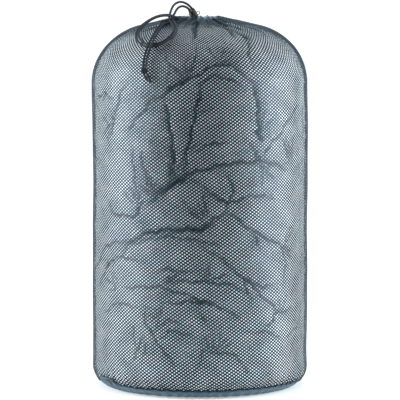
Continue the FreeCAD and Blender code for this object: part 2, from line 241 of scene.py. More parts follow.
def net_thread():
    """Thin dark knitted thread with a cool sheen, darker at the knots: partly the denser thread there, partly
    painted shade.
    """
    n = Nodes("net_thread")
    knot = n.add("Attribute", set_attribute_name="knot").outputs["Fac"]
    broad = n.noise(9.0)
    base = n.mix(broad, rgb(0.001, 0.004, 0.007), rgb(0.003, 0.009, 0.014))
    # darker at the knots: partly the denser thread, partly painted shade
    colour = n.mix(n.math("MULTIPLY", knot, 0.9), base, rgb(0.003, 0.005, 0.007))
    fibre = n.noise(5200.0, 2.0)
    normal = n.bump(fibre, 0.0002, 0.6)
    return n.finish(colour, span(n, fibre, 0.35, 0.5), normal,
                    sheen=0.15, sheen_roughness=0.22, specular=0.14, tint=(0.60, 0.84, 1.0, 1))


def quilt_cloth():
    """Light downproof cloth, with painted shade deep in its folds."""
    n = Nodes("quilt_cloth")
    broad = n.noise(14.0)
    colour = n.mix(broad, rgb(0.83, 0.89, 0.92), rgb(0.88, 0.92, 0.94))
    # painted shade: near black where the cloth lies deep in a fold or under a deep pleat
    deep = n.add("Attribute", set_attribute_name="fold").outputs["Fac"]
    colour = n.mix(n.math("MULTIPLY", deep, 1.0, clamp=True), colour, rgb(0.004, 0.008, 0.011))
    weave = n.weave(0.0009)
    crumple = n.noise(160.0, 4.0)
    normal = n.bump(weave, 0.0001, 0.5, n.bump(crumple, 0.0016, 0.5))
    return n.finish(colour, span(n, crumple, 0.60, 0.75), normal, specular=0.10)


def base_cloth():
    """Coarser slate-blue weave, with painted shade where its edge is folded up."""
    n = Nodes("base_cloth")
    weave = n.weave(0.0011)
    broad = n.noise(30.0, 4.0)
    colour = n.mix(broad, rgb(0.020, 0.052, 0.086), rgb(0.034, 0.080, 0.124))
    colour = n.mix(n.math("MULTIPLY", weave, 0.35), colour, rgb(0.058, 0.125, 0.185))
    # painted shade where the edge is folded up over the net, and in the small gap in that fold
    folded = n.add("Attribute", set_attribute_name="folded").outputs["Fac"]
    colour = n.mix(n.math("MULTIPLY", folded, 0.9), colour, rgb(0.014, 0.022, 0.030))
    crumple = n.noise(220.0, 3.0)
    normal = n.bump(weave, 0.0002, 0.7, n.bump(crumple, 0.0008, 0.4))
    return n.finish(colour, span(n, broad, 0.5, 0.7), normal, sheen=0.12, specular=0.14)


def hem_cloth():
    """The gathered tunnel's weave."""
    n = Nodes("hem_cloth")
    weave = n.weave(0.0011)
    broad = n.noise(60.0, 4.0)
    colour = n.mix(broad, rgb(0.08, 0.11, 0.135), rgb(0.17, 0.22, 0.26))
    normal = n.bump(weave, 0.0002, 0.6, n.bump(n.noise(400.0), 0.0006, 0.5))
    return n.finish(colour, span(n, broad, 0.55, 0.75), normal, sheen=0.08, specular=0.12)


def braid():
    """Round braid: crossing strands that run round the cord both ways.

    The cloth's two directions are along the cord and round it.
    """
    n = Nodes("braid")
    along, around = n.cloth()
    one = n.math("SINE", n.math("MULTIPLY", n.math("ADD", along, around), TURN / BRAID_PITCH))
    two = n.math("SINE", n.math("MULTIPLY", n.math("SUBTRACT", along, around), TURN / BRAID_PITCH))
    top = n.math("MAXIMUM", one, two)
    fleck = n.noise(900.0, 2.0)
    raised = n.math("MULTIPLY", top, 0.8, clamp=True)
    colour = n.mix(raised, rgb(0.001, 0.002, 0.004), rgb(0.007, 0.011, 0.018))
    colour = n.mix(n.math("MULTIPLY", fleck, 0.20), colour, rgb(0.035, 0.045, 0.06))
    normal = n.bump(top, 0.0004, 0.8)
    return n.finish(colour, span(n, fleck, 0.5, 0.7), normal, sheen=0.02, sheen_roughness=0.3, specular=0.14)


def plain_fabric(name, dark, light, pitch=1200.0):
    """Tape or thread: fine threads across the piece, in an uneven colour."""
    n = Nodes(name)
    broad = n.noise(40.0, 4.0)
    threads = n.add("TexWave", Vector=n.place(), Scale=pitch, Distortion=1.0).outputs["Fac"]
    colour = n.mix(broad, dark, light)
    colour = n.mix(n.math("MULTIPLY", threads, 0.3), colour, tuple(0.6 * c for c in dark[:3]) + (1.0,))
    normal = n.bump(threads, 0.0002, 0.6)
    return n.finish(colour, span(n, broad, 0.6, 0.8), normal, sheen=0.1)


THREAD, QUILT, BASE, HEM, BRAID = net_thread(), quilt_cloth(), base_cloth(), hem_cloth(), braid()
TAPE = plain_fabric("binding_tape", rgb(0.012, 0.018, 0.026), rgb(0.03, 0.042, 0.055))
STITCH = plain_fabric("sewing_thread", rgb(0.003, 0.005, 0.007), rgb(0.010, 0.014, 0.018), 2500.0)


def dress(piece, paint, body, stands_for=()):
    """Give a new piece its material and body, and hide the CAD nodes that it stands for."""
    piece.data.materials.clear()
    piece.data.materials.append(paint)
    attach(piece, body)
    if stands_for:
        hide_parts(*stands_for)
    return piece


# ---------------------------------------------------------------- drawcord
# routes in mm
LONG_STRAND = [
    (-5, -20, 489), (-4.5, -20.5, 503), (-6, -21, 517), (-10.5, -25, 528), (-19.5, -29, 536),
    (-29, -34, 538), (-37, -39, 533), (-40.5, -45, 524.5), (-43, -52.5, 515.5), (-39, -66.5, 509.5),
    (-35, -90, 504.5), (-38.5, -108.5, 494), (-47.5, -114.5, 487.5), (-58.5, -115.5, 482.5),
    (-71.5, -110, 481), (-81, -96, 486.5), (-85, -76.5, 495.5), (-80.5, -62.5, 503), (-70, -56, 512),
    (-59, -54, 517.5), (-48.5, -56, 519.5), (-39.5, -62, 518.5), (-29, -57, 516.5), (-30.5, -44.5, 514.5),
    (-42.5, -40, 513), (-52, -49, 511), (-54, -65.5, 509), (-59.5, -86, 501), (-65.5, -106, 490.5),
    (-70, -119, 482), (-73, -123, 473), (-76.5, -124, 462), (-76.5, -128, 451.5),
]
SHORT_STRAND = [
    (-9.5, -19.5, 490), (-9, -20, 503), (-10.5, -20.5, 516), (-14, -24, 526.5), (-21.5, -28, 531.5),
    (-28.5, -33, 531), (-33, -39, 526), (-35.5, -46, 520.5), (-39, -51.5, 516.5), (-35, -65.5, 510.5),
    (-31, -90, 504.5), (-35, -110.5, 493.5), (-45.5, -117.5, 485.5), (-58.5, -118.5, 479.5), (-73, -112, 478),
    (-84.5, -96, 484), (-89, -75.5, 493.5), (-83.5, -59.5, 503), (-72, -52, 512), (-59, -50, 518.5),
    (-47.5, -52, 520.5), (-38.5, -58, 519.5), (-33, -55, 516.5), (-33.5, -47.5, 513.5), (-41.5, -44, 513),
    (-48, -51, 511), (-50, -66.5, 509), (-55.5, -87, 501.5), (-61.5, -107, 491), (-66, -121, 482),
    (-69.5, -125, 472.5), (-73, -126, 461.5), (-73, -130, 452.5),
]
LEFT_END = [(-76, -132, 443.5), (-74, -133.7, 438.3), (-71, -135.3, 433.5)]
RIGHT_END = [(-72.3, -133.5, 444), (-68.8, -136, 437.3), (-66, -137.6, 430.5)]
LEFT_THREAD = [(-10, -26, 519), (-13, -27.5, 522.5), (-15.5, -27.5, 520.5), (-14, -27, 517.5),
               (-11.5, -26.5, 518)]
RIGHT_THREAD = [(-5.5, -25, 522), (-2.5, -25.5, 525), (0, -25, 523), (-1, -24.5, 519.5), (-4.5, -24, 519)]
WHIPPING_CORE = [(-7.0, -20.9, 514.5), (-8.6, -22.4, 520.5), (-12.5, -25.2, 526.5)]


def spline_points(route):
    """The smooth line of a cord: the NURBS spline whose control points are the route's points."""
    curve = bpy.data.curves.new("route", "CURVE")
    curve.dimensions = "3D"
    spline = curve.splines.new("NURBS")
    spline.points.add(len(route) - 1)
    for point, place in zip(spline.points, route):
        point.co = (*(MM * c for c in place), 1)
    spline.order_u = 3
    spline.use_endpoint_u = True
    spline.resolution_u = 24
    holder = link(curve, "route")
    bpy.context.view_layer.update()
    mesh = bpy.data.meshes.new_from_object(holder)
    points = np.zeros(len(mesh.vertices) * 3)
    mesh.vertices.foreach_get("co", points)
    bpy.data.objects.remove(holder)
    return points.reshape(-1, 3)


def distances_along(points):
    return np.concatenate([[0], np.cumsum(np.linalg.norm(np.diff(points, axis=0), axis=1))])


def interpolated(wanted, along, values):
    """Rows of three values, read off at the wanted distances along."""
    return np.stack([np.interp(wanted, along, values[:, k]) for k in range(3)], -1)


def respaced(points, step):
    """The same line with points a step apart."""
    along = distances_along(points)
    keep = np.concatenate([[True], np.diff(along) > 1e-9])
    wanted = np.linspace(0, along[-1], max(3, int(round(along[-1] / step)) + 1))
    return interpolated(wanted, along[keep], points[keep])


def frames_along(points):
    """Directions across a line that don't twist about it: two unit vectors for each point."""
    tangents = np.gradient(points, axis=0)
    tangents /= np.linalg.norm(tangents, axis=1)[:, None]
    across = np.zeros_like(points)
    start = np.cross(tangents[0], (0.3, 0.9, 0.1))
    across[0] = start / np.linalg.norm(start)
    for k in range(1, len(points)):
        a = across[k - 1] - tangents[k] * (across[k - 1] @ tangents[k])
        across[k] = a / np.linalg.norm(a)
    return across, np.cross(tangents, across)


def braided_tube(name, points, width, sides=20, ends=None, relief=0.00013):
    """A closed cord with a braid's relief: strands that cross as they run round it both ways."""
    one, two = frames_along(points)
    along = distances_along(points)
    angle = np.arange(sides) / sides * TURN
    taper = np.ones(len(points)) if ends is None else ends(along, along[-1])
    around = angle * width / 2
    a = np.sin((along[:, None] + around) * TURN / BRAID_PITCH)
    b = np.sin((along[:, None] - around) * TURN / BRAID_PITCH)
    radius = (width / 2 - relief + relief * np.maximum(a, b)) * taper[:, None]
    ring = one[:, None] * np.cos(angle)[None, :, None] + two[:, None] * np.sin(angle)[None, :, None]
    body = (points[:, None] + ring * radius[:, :, None]).reshape(-1, 3)
    first, last = len(body), len(body) + 1
    body = np.concatenate([body, points[:1], points[-1:]])
    rows = len(points)
    uv = np.stack([np.repeat(along, sides), np.tile(around, rows)], -1)
    uv = np.concatenate([uv, [[0, 0], [along[-1], 0]]])
    end_ring = np.arange(sides) + (rows - 1) * sides
    faces = [grid_faces(rows, sides), fan(first, np.arange(sides), True), fan(last, end_ring)]
    return mesh_piece(name, body, faces, uv)


def blunt(along, whole):
    """A cut and melted tip: it swells a little, then closes."""
    from_tip = np.minimum(whole - along, 0.004)
    rounded = np.clip(np.sqrt(np.clip(from_tip / 0.0009, 0, 1)), 0.15, 1)
    return rounded * (1 + 0.12 * np.exp(-((from_tip - 0.001) / 0.0008) ** 2))


def smooth_cord(name, route, step, width=CORD_WIDTH, **form):
    """A cord along the smooth line of a route."""
    return braided_tube(name, respaced(spline_points(route), step), width, **form)


long_line = respaced(spline_points(LONG_STRAND), 0.0005)
short_line = respaced(spline_points(SHORT_STRAND), 0.0005)
long_strand = braided_tube("drawcord_long_strand_braid", long_line, CORD_WIDTH)
short_strand = braided_tube("drawcord_short_strand_braid", short_line, CORD_WIDTH)
dress(long_strand, BRAID, CORD, ["drawcord_long_strand"])
dress(short_strand, BRAID, CORD, ["drawcord_short_strand"])


def knotted(name):
    """The stopper knot: a small tight trefoil of the same cord."""
    t = np.linspace(0, TURN, 240)
    x = (2 + np.cos(3 * t)) * np.cos(2 * t) * 1.32
    y = np.sin(3 * t) * 1.9
    z = (2 + np.cos(3 * t)) * np.sin(2 * t) * 1.25
    centre = np.array([-75.5, -131.4, 447.5])
    line = (np.stack([x, y * 0.9, z], -1) + centre) * MM
    return braided_tube(name, respaced(line, 0.0004), 0.0029, sides=16)


knot = dress(knotted("stopper_knot_tied"), BRAID, CORD, ["stopper_knot"])
left_end = dress(smooth_cord("cord_end_left_cut", LEFT_END, 0.0004, ends=blunt),
                 BRAID, CORD, ["cord_end_left"])
right_end = dress(smooth_cord("cord_end_right_cut", RIGHT_END, 0.0004, ends=blunt),
                  BRAID, CORD, ["cord_end_right"])


THREAD_RELIEF = 0.00003


def whipping():
    """Dark thread wound round both strands where they come out."""
    core = respaced(spline_points(WHIPPING_CORE), 0.0003)
    one, two = frames_along(core)
    along = np.linspace(0, 1, len(core))
    half = 0.0056 - 0.0010 * along
    windings = 9
    t = np.linspace(0, 1, 900)
    at, a, b = (interpolated(t, along, values) for values in (core, one, two))
    wide = np.interp(t, along, half)[:, None]
    wound = t[:, None] * windings * TURN
    line = at + a * np.cos(wound) * wide * 0.95 + b * np.sin(wound) * wide * 0.75
    return braided_tube("cord_whipping", line, 0.0011, sides=8, relief=THREAD_RELIEF)


dress(whipping(), STITCH, CORD)
for name, route in (("whipping_end_left", LEFT_THREAD), ("whipping_end_right", RIGHT_THREAD)):
    dress(smooth_cord(name, route, 0.0003, 0.0010, sides=8, ends=blunt, relief=THREAD_RELIEF),
          STITCH, CORD)

# ---------------------------------------------------------------- the sack's form
# an upright wall with a round corner below and two arcs and a straight slope up to the mouth
WALL = 0.150
CORNER = 0.030
SEAM_TURN = math.radians(42)
SHOULDER_TOP = 0.424
SHOULDER = 0.0785
SHOULDER_TURN = math.radians(45)
CROWN = 0.090
CROWN_TURN = math.radians(31)
MOUTH = (0.028, 0.514)

shoulder_centre = np.array([WALL - SHOULDER, SHOULDER_TOP])
slope = np.array([math.cos(SHOULDER_TURN), math.sin(SHOULDER_TURN)])
crown_start = shoulder_centre + SHOULDER * slope
crown_centre = crown_start - CROWN * slope
lean_angle = SHOULDER_TURN + CROWN_TURN
crown_end = crown_centre + CROWN * np.array([math.cos(lean_angle), math.sin(lean_angle)])
lengths = [CORNER * SEAM_TURN, SHOULDER_TOP - CORNER, SHOULDER * SHOULDER_TURN, CROWN * CROWN_TURN,
           float(np.linalg.norm(np.array(MOUTH) - crown_end))]
# distances up the cloth where the corner, the wall, the shoulder, the crown and the slope end
marks = np.concatenate([[0], np.cumsum(lengths)])
WALL_START, WALL_END, SHOULDER_END, CROWN_END, NET_LENGTH = marks[1:]


def meridian(s):
    """The sack's outline at the distance s up the cloth from the base seam.

    Returns the radius, the height, and the outward direction's parts along the radius and the height.
    """
    below = -SEAM_TURN + s / CORNER
    up = (s - WALL_END) / SHOULDER
    over = SHOULDER_TURN + (s - SHOULDER_END) / CROWN
    slide = (s - CROWN_END) / lengths[4]
    top = np.arctan2(MOUTH[1] - crown_end[1], MOUTH[0] - crown_end[0]) - math.pi / 2
    parts = [s < WALL_START, s < WALL_END, s < SHOULDER_END, s < CROWN_END]
    r = np.select(parts, [WALL - CORNER + CORNER * np.cos(below), np.full_like(s, WALL),
                          shoulder_centre[0] + SHOULDER * np.cos(up), crown_centre[0] + CROWN * np.cos(over)],
                  crown_end[0] + (MOUTH[0] - crown_end[0]) * slide)
    z = np.select(parts, [CORNER + CORNER * np.sin(below), CORNER + s - WALL_START,
                          SHOULDER_TOP + SHOULDER * np.sin(up), crown_centre[1] + CROWN * np.sin(over)],
                  crown_end[1] + (MOUTH[1] - crown_end[1]) * slide)
    turn = np.select(parts, [below, np.zeros_like(s), up, over], np.full_like(s, top))
    return r, z, np.cos(turn), np.sin(turn)


def ripple(angle, s, seed, waves, tall):
    """Smooth unevenness round the sack and up it, within about -1..1: one wave for each count."""
    rng = np.random.default_rng(seed)
    total = np.zeros(np.broadcast(angle, s).shape)
    for count in waves:
        phase, lift, size = rng.uniform(0, TURN, 2).tolist() + [rng.uniform(0.6, 1.0)]
        sway = np.sin(s * TURN / tall * rng.uniform(0.6, 1.6) + lift)
        total = total + size * np.sin(count * angle + phase + sway * 1.6)
    return total / len(waves)


# the pleats that are folded in deepest:
# (degrees round the sack, half width mm, depth mm, how far below the crown's end they start, metres)
DEEP_PLEATS = [(-6, 2.2, 7.0, 0.014), (27, 1.6, 5.0, 0.02), (40, 1.8, 5.0, 0.02), (-52, 1.5, 4.0, 0.01),
               (95, 1.6, 4.0, 0.01), (150, 1.6, 5.0, 0.01), (205, 1.6, 4.0, 0.02), (262, 1.6, 4.0, 0.01)]


def pleats(angle, s):
    """Folds that run up to the gathered mouth: rounded outside, sharp inside, each of its own width."""
    wander = 0.35 * np.sin(3 * angle + 1.0) + 0.28 * np.sin(5 * angle + 2.4) + 0.2 * np.sin(s * 60)
    fold = 1 - 2 * np.abs(np.sin(13 * angle + 1.6 * wander)) ** 0.8
    fine = np.sin(37 * angle + 3 * wander)
    rise = smoothstep(CROWN_END - 0.01, NET_LENGTH, s)
    early = smoothstep(WALL_END + 0.02, CROWN_END, s)
    radius = np.maximum(0.03, 0.15 - (s - WALL_END) * 0.8)      # roughly, where the folds are
    deep = np.zeros(np.broadcast(angle, s).shape)
    for at, wide, size, start in DEEP_PLEATS:
        across = turn_from(angle, math.radians(at)) * radius / (wide * MM)
        deep = deep + size * MM * np.exp(-across ** 2) * smoothstep(CROWN_END - start, CROWN_END + 0.012, s)
    return -fold * (0.0004 * early + 0.0022 * rise) + fine * 0.0005 * rise - deep


def body_waves(angle, s):
    """Low billows of the net's wall, and the pucker just above the base seam."""
    middle = smoothstep(0.0, 0.05, s) * (1 - smoothstep(SHOULDER_END, CROWN_END, s))
    low = 0.0016 * ripple(angle, s, 3, (2, 3, 5, 7, 11), 0.30) * middle
    pucker = 0.0009 * np.sin(58 * angle + 2.2 * np.sin(7 * angle)) * (1 - smoothstep(0.004, 0.035, s))
    return low + pucker


def net_surface(angle, s, lift):
    """Points of the net, with the given lift outward from its cloth."""
    r, z, out, up = meridian(s)
    away = body_waves(angle, s) + pleats(angle, s) + lift
    return round_points(r + away * out, angle, z + away * up)


# ---------------------------------------------------------------- net
COLUMNS = 150
ROWS = 2 * int(round(NET_LENGTH / 0.0045))
PANELS = 8
LEAN = math.tan(math.radians(6))
HOLE = (0.00128, 0.00100)
THREAD_HEIGHT = 0.00035
KNOT_HEIGHT = 0.00015
net_step = NET_LENGTH / ROWS


def net_angle(u, s):
    """Angle round the sack of the column u. The columns lean, as the net is twisted a little."""
    return u / COLUMNS * TURN + LEAN * (NET_LENGTH * 0.5 - s) / WALL


def net_panel(index):
    """One of the equal panels round the sack: diamonds with a raised thread round each hole."""
    wide = COLUMNS // PANELS + (1 if index < COLUMNS % PANELS else 0)
    first = index * (COLUMNS // PANELS) + min(index, COLUMNS % PANELS)
    row, col = np.meshgrid(np.arange(1, ROWS), np.arange(wide), indexing="ij")
    u = first + col + 0.5 + 0.5 * (row % 2)
    s = row * net_step
    # the corners of each diamond and the middles of its sides, in columns and rows
    ring = np.array([(0.5, 0), (0.25, 0.5), (0, 1), (-0.25, 0.5),
                     (-0.5, 0), (-0.25, -0.5), (0, -1), (0.25, -0.5)])
    turns = np.arange(8) / 8 * TURN
    uneven = 1 + 0.10 * ripple(u / COLUMNS * TURN, s, 8, (9, 14, 23), 0.06)
    inner_u = u[..., None] + HOLE[0] / (TURN * WALL / COLUMNS) * np.cos(turns) * uneven[..., None]
    inner_s = s[..., None] + HOLE[1] * np.sin(turns) * uneven[..., None]
    # neighbouring diamonds share these points, counted in quarter columns and half rows
    key_u = np.round((u[..., None] + ring[:, 0]) * 4).astype(np.int64)
    key_s = np.round((row[..., None] + ring[:, 1]) * 2).astype(np.int64)
    keys, back = np.unique(np.stack([key_u.ravel(), key_s.ravel()], -1), axis=0, return_inverse=True)
    back = back.reshape(row.shape + (8,))
    shared_u, shared_s = keys[:, 0] / 4, keys[:, 1] / 2 * net_step
    is_knot = (keys[:, 1] % 2 == 0).astype(float)
    jitter = 0.00012 * np.sin(shared_u * 12.9898 + shared_s * 7823.3)
    lift = THREAD_HEIGHT + KNOT_HEIGHT * is_knot
    outer = net_surface(net_angle(shared_u, shared_s), shared_s + jitter, lift)
    inner = net_surface(net_angle(inner_u, inner_s), inner_s, 0.0).reshape(-1, 3)
    inner_index = len(outer) + np.arange(row.size * 8).reshape(row.shape + (8,))
    faces = np.stack([back, np.roll(back, -1, -1), np.roll(inner_index, -1, -1), inner_index], -1)
    faces = faces.reshape(-1, 4)[:, ::-1]
    points = np.concatenate([outer, inner])
    uv = np.concatenate([np.stack([shared_u * TURN * WALL / COLUMNS, shared_s], -1),
                         np.stack([inner_u.ravel() * TURN * WALL / COLUMNS, inner_s.ravel()], -1)])
    # 1 at the knots, where the thread is denser and painted shade darkens it
    knot_here = np.concatenate([is_knot, np.zeros(inner_index.size)])
    return mesh_piece(f"net_panel_{index + 1}", points, faces, uv, floats={"knot": knot_here})


for panel in [net_panel(k) for k in range(PANELS)]:
    dress(panel, THREAD, SACK, ["net_side_panel"])

# ---------------------------------------------------------------- quilt
WALL_MM = 150
WIDE_FOLD = 3               # half width in mm from which a fold counts as wide
FULL_DEPTH_HALF = 2.6       # half width in mm from which a fold has its whole depth
QUILT_GAP = 0.0011
QUILT_STEP = 0.0022
QUILT_TOP = CROWN_END + 0.040
QUILT_UNDERSIDE = 0.0065
BILLOW = 0.0020             # how far inside its place the quilt starts before it fills out
COARSE_ROWS = 3
COARSE_COLUMNS = 2
SIM_FRAMES = 12

# Folds of the quilt against the net:
# (depth mm, half width mm, points of (degrees round the sack, height mm))
FOLDS = [
    # the long fold across the middle, and what rises from it
    (15, 2.6, [(-28, 269), (-20, 283), (-14, 294), (-6, 308), (3, 315), (15, 322), (35, 323), (46, 318),
               (54, 310)]),
    (14, 6.0, [(-24, 278), (-14, 295), (-5, 309)]),
    (12, 2.2, [(-17, 292), (-14, 333), (-16, 367), (-19, 410)]),
    (12, 2.2, [(-9, 303), (-6, 350), (-2, 394), (1, 431)]),
    (8, 1.8, [(-5, 333), (0, 342), (7, 350), (15, 351)]),
    (7, 1.6, [(-2, 391), (3, 392), (7, 399)]),
    # the arch over the upper billow
    (13, 2.4, [(-25, 408), (-20, 414), (-14, 426), (-8, 435), (-1, 444), (10, 459), (17, 457), (24, 446),
               (29, 430)]),
    (12, 2.4, [(29, 430), (32, 413), (33, 393), (33, 369), (35, 355)]),
    (10, 4.0, [(-10, 433), (-7, 436)]),
    (10, 4.0, [(32, 364), (35, 355)]),
    (8, 1.6, [(-1, 431), (7, 441), (16, 437), (25, 420)]),
    (8, 1.8, [(27, 349), (30, 337), (33, 325), (38, 338), (46, 354), (56, 376), (69, 398)]),
    # under the pleats at the mouth
    (9, 5.0, [(-4, 499), (-6, 512)]),
    (7, 4.0, [(27, 497), (30, 508)]),
    (7, 4.0, [(38, 492), (33, 503)]),
    # the left shoulder
    (10, 2.0, [(-59, 341), (-64, 361), (-55, 376), (-51, 397), (-48, 418), (-43, 426)]),
    (9, 2.0, [(-43, 366), (-37, 379), (-32, 393), (-27, 407)]),
    (9, 1.8, [(-40, 348), (-39, 324), (-38, 297), (-35, 270)]),
    (7, 1.6, [(-34, 335), (-29, 294)]),
    (6, 1.6, [(-21, 474), (-17, 455), (-18, 427)]),
    (6, 1.6, [(-2, 484), (-3, 464), (-6, 440)]),
    (7, 1.8, [(34, 499), (34, 487), (30, 467), (31, 450)]),
    # under the long fold
    (9, 2.0, [(-6, 304), (0, 293), (7, 281), (15, 267), (26, 276), (35, 277), (44, 269)]),
    (9, 2.0, [(15, 309), (18, 292), (17, 277), (13, 255)]),
    (10, 2.4, [(-59, 259), (-57, 249), (-43, 247), (-37, 249), (-34, 260), (-32, 269)]),
    # the second long fold
    (15, 2.6, [(-47, 195), (-43, 207), (-38, 217), (-28, 227), (-20, 231), (-2, 230), (3, 234), (8, 247),
               (13, 255)]),
    (14, 5.0, [(-16, 233), (-2, 232), (7, 240)]),
    (12, 2.2, [(13, 255), (20, 248), (27, 234), (33, 224), (42, 214), (51, 202), (54, 178), (52, 154)]),
    (7, 1.6, [(-43, 207), (-28, 218), (-16, 223), (2, 217), (12, 210)]),
    # slanting and level folds low down
    (8, 1.8, [(0, 212), (8, 198), (22, 170), (26, 159), (35, 141), (42, 126), (46, 111)]),
    (9, 2.2, [(-17, 160), (-6, 163), (11, 159), (19, 155), (26, 146)]),
    (7, 1.6, [(-24, 173), (-18, 182), (-13, 174), (-2, 178)]),
    (9, 2.0, [(-45, 149), (-24, 154), (-9, 144), (8, 130), (15, 123), (22, 109)]),
    (8, 1.8, [(-21, 131), (-4, 134), (4, 132), (11, 124)]),
    (7, 1.6, [(-23, 99), (-18, 108), (-9, 105)]),
    (7, 1.6, [(-22, 82), (-17, 94), (-5, 90)]),
    (8, 1.8, [(-31, 125), (-31, 101), (-21, 68), (-13, 47)]),
    (6, 1.6, [(-39, 96), (-37, 52)]),
    (7, 1.6, [(-2, 39), (2, 67), (20, 60), (27, 34)]),
    (6, 1.6, [(-1, 121), (3, 107)]),
    (6, 1.8, [(24, 92), (42, 88), (50, 76)]),
    (9, 2.0, [(37, 96), (45, 105), (44, 112), (59, 116)]),
    (6, 1.8, [(-64, 110), (-51, 127), (-38, 123)]),
]


def scattered_folds(low, high, count, seed):
    """Wandering folds between two angles, in the same style as those in front."""
    rng = np.random.default_rng(seed)
    stretch = 28            # mm between a fold's points
    made = []
    for _ in range(count):
        angle, height = rng.uniform(low, high), rng.uniform(70, 430)
        heading = rng.choice([rng.normal(0, 0.4), rng.normal(1.4, 0.35)])
        points = [(angle, height)]
        for _ in range(int(rng.integers(3, 7))):
            heading += rng.normal(0, 0.35)
            angle += math.degrees(stretch * math.cos(heading) / WALL_MM)
            height = float(np.clip(height + stretch * math.sin(heading), 45, 450))
            points.append((angle, height))
        made.append((rng.uniform(7, 14), rng.uniform(1.7, 2.5), points))
    return made


# Short wrinkles that fan out from where folds meet:
# (degrees round the sack, height mm, first and last heading in degrees, count, length mm)
FANS = [
    (-14, 297, 58, 112, 6, 58), (-24, 276, 95, 165, 5, 34), (5, 243, 100, 165, 5, 36),
    (22, 168, -62, -18, 5, 46), (-10, 170, 150, 215, 5, 26), (34, 360, 50, 120, 4, 30),
    (33, 322, -70, -20, 4, 30), (-36, 262, 70, 150, 4, 32), (-20, 128, 190, 260, 5, 40),
    (8, 62, 20, 140, 5, 26), (10, 455, 40, 130, 5, 24), (-8, 438, 60, 160, 4, 30),
    (-58, 350, 40, 130, 4, 36), (50, 210, -60, 60, 5, 30), (46, 110, 20, 130, 4, 28),
    (-32, 90, 230, 300, 4, 36), (0, 160, 20, 60, 4, 34), (28, 232, -80, -30, 4, 30),
    (-50, 150, 120, 220, 4, 30), (60, 320, 60, 200, 5, 34),
]


def fanned(fans, seed):
    """The folds of some fans, each with its own heading, length and bend."""
    rng = np.random.default_rng(seed)
    made = []
    for angle, height, low, high, count, length in fans:
        for k in range(count):
            heading = math.radians(low + (high - low) * (k + rng.uniform(0.1, 0.9)) / count)
            start, reach = rng.uniform(2, 9), length * rng.uniform(0.5, 1.1)
            bend = rng.normal(0, 0.25)
            points = []
            for share in (0, 0.35, 0.7, 1.0):
                far, turned = start + reach * share, heading + bend * share
                points.append((angle + math.degrees(far * math.cos(turned) / WALL_MM),
                               height + far * math.sin(turned)))
            made.append((rng.uniform(4.5, 7.5), rng.uniform(1.2, 1.7), points))
    return made


FOLDS += scattered_folds(68, 292, 34, 11) + fanned(FANS, 5)
# fans spread over the sides and the back, at heights that don't repeat
BACK_FANS = 30
GOLDEN = 0.618
back_turns = np.linspace(72, 290, BACK_FANS)
back_heights = 90 + 330 * ((np.arange(BACK_FANS) * GOLDEN) % 1)
FOLDS += fanned([(float(a), float(z), 0, 360, 4, 34) for a, z in zip(back_turns, back_heights)], 9)


def fold_depth(angle, z):
    """How far the quilt's cloth falls away from the net in metres, and how deep in a fold it is, 0..1."""
    turn = np.degrees(angle)
    across = angle * WALL
    wx = 0.0014 * np.sin(z * 210 + 5 * angle) + 0.0009 * np.sin(z * 530 + 17 * angle)
    wz = 0.0014 * np.sin(across * 190 + z * 60) + 0.0009 * np.sin(across * 480 + 1.0)
    depth = np.zeros_like(z)
    inside = np.zeros_like(z)
    for deep, half, points in FOLDS:
        half = half * (0.8 if half < WIDE_FOLD else 0.9)
        whole = MM * deep * min(1.0, half / FULL_DEPTH_HALF)
        count = len(points) - 1
        for k, ((a0, z0), (a1, z1)) in enumerate(zip(points[:-1], points[1:])):
            # the nearest place on this stretch of the fold, and how far off it is in mm
            off = (turn - (a0 + a1) / 2 + 180) % 360 - 180
            x = (off + (a1 - a0) / 2) * math.pi / 180 * WALL + wx
            dx, dz = (a1 - a0) * math.pi / 180 * WALL, (z1 - z0) * MM
            y = z + wz - z0 * MM
            t = np.clip((x * dx + y * dz) / (dx * dx + dz * dz), 0, 1)
            far = np.hypot(x - t * dx, y - t * dz) / MM
            # folds of several stretches are shallower at their ends
            size = 0.45 + 0.55 * np.sin((k + t) / count * math.pi) ** 0.6 if count > 1 else 1.0
            sharp = np.exp(-(far / half) ** 1.5)
            soft = np.exp(-far / 8.0)
            depth = np.maximum(depth, size * whole * (0.60 * sharp + 0.05 * soft))
            # how deep in a fold, 0..1: it holds the cloth still while it fills out, and gives it painted
            # shade
            inside = np.maximum(inside, size * np.exp(-(far / half) ** 2) * min(1.0, deep / 7.0))
    return depth, inside


def widened(mask, rows, columns):
    """The highest value of a mask round each point."""
    best = mask
    for dr in range(-rows, rows + 1):
        for dc in range(-columns, columns + 1):
            best = np.maximum(best, np.roll(mask, (dr, dc), (0, 1)))
    return best


